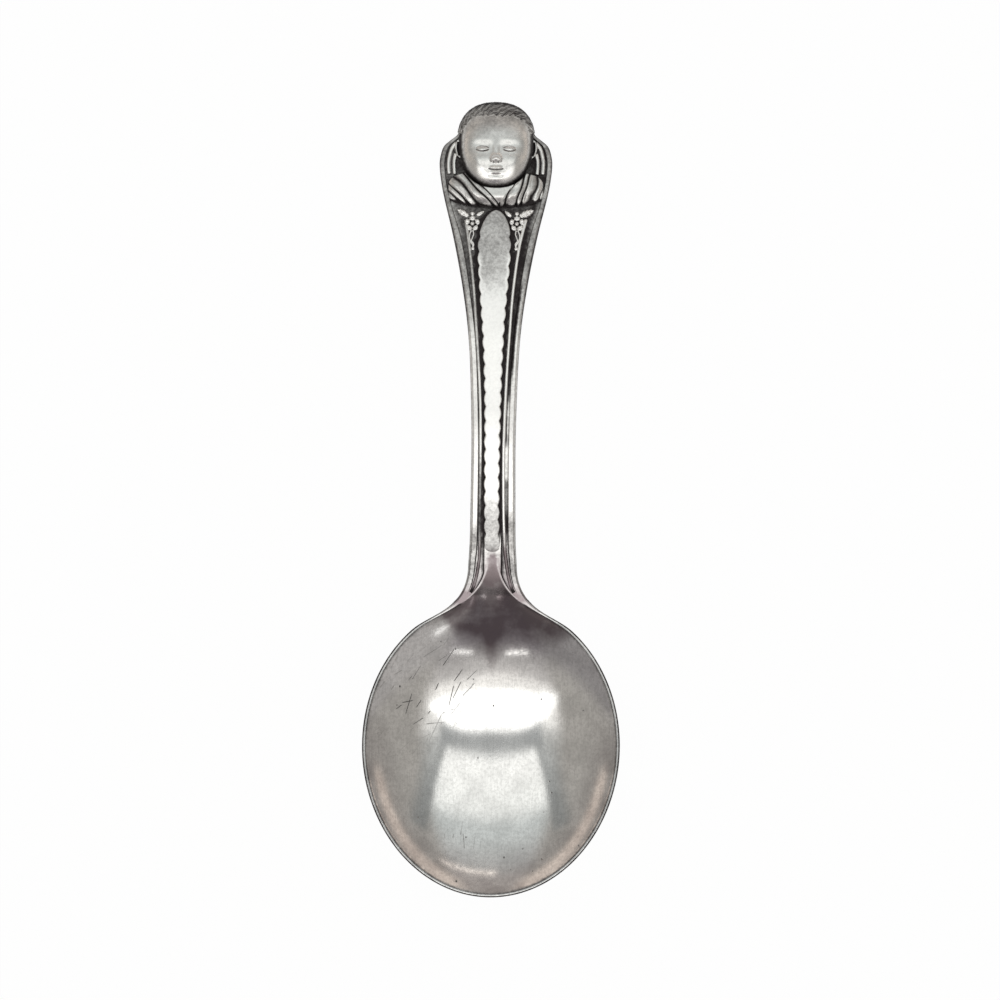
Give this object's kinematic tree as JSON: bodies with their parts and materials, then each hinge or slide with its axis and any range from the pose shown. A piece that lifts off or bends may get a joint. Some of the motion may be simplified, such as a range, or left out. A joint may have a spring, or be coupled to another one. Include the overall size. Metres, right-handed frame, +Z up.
{
  "type": "baby spoon",
  "caption": "Short round-bowled baby spoon in silver plate: arched handle with a scalloped panel, flower sprays and the bust of an infant at its top.",
  "frame": {"origin": "middle of the spoon's outline, on the plane on which the bowl rests", "axes": "the spoon lies on its back: +X across it, +Y along it from the bowl to the bust, +Z up out of the bowl"},
  "size_m": [0.0356, 0.11, 0.0126],
  "materials": {
    "bowl_plate": "polished silver plate with tarnish and fine scratches",
    "handle_plate": "silver plate, oxidised dark in the sunk ground",
    "relief_plate": "silver plate, rubbed bright on the raised work",
    "bust_plate": "worn satin silver plate"
  },
  "bodies": {
    "root": {"bowl": "bowl_plate", "neck": "bowl_plate", "handle": "handle_plate", "name_panel": "relief_plate", "rail_left": "relief_plate", "rail_right": "relief_plate", "shield_lines_left": "relief_plate", "shield_lines_right": "relief_plate", "flower_left": "relief_plate", "flower_right": "relief_plate", "bud_left": "relief_plate", "bud_right": "relief_plate", "leaves_left": "relief_plate", "leaves_right": "relief_plate", "stem_left": "relief_plate", "stem_right": "relief_plate", "gown": "bust_plate", "head": "bust_plate", "ear_left": "bust_plate", "ear_right": "bust_plate", "hair": "bust_plate"}
  },
  "joints": []
}
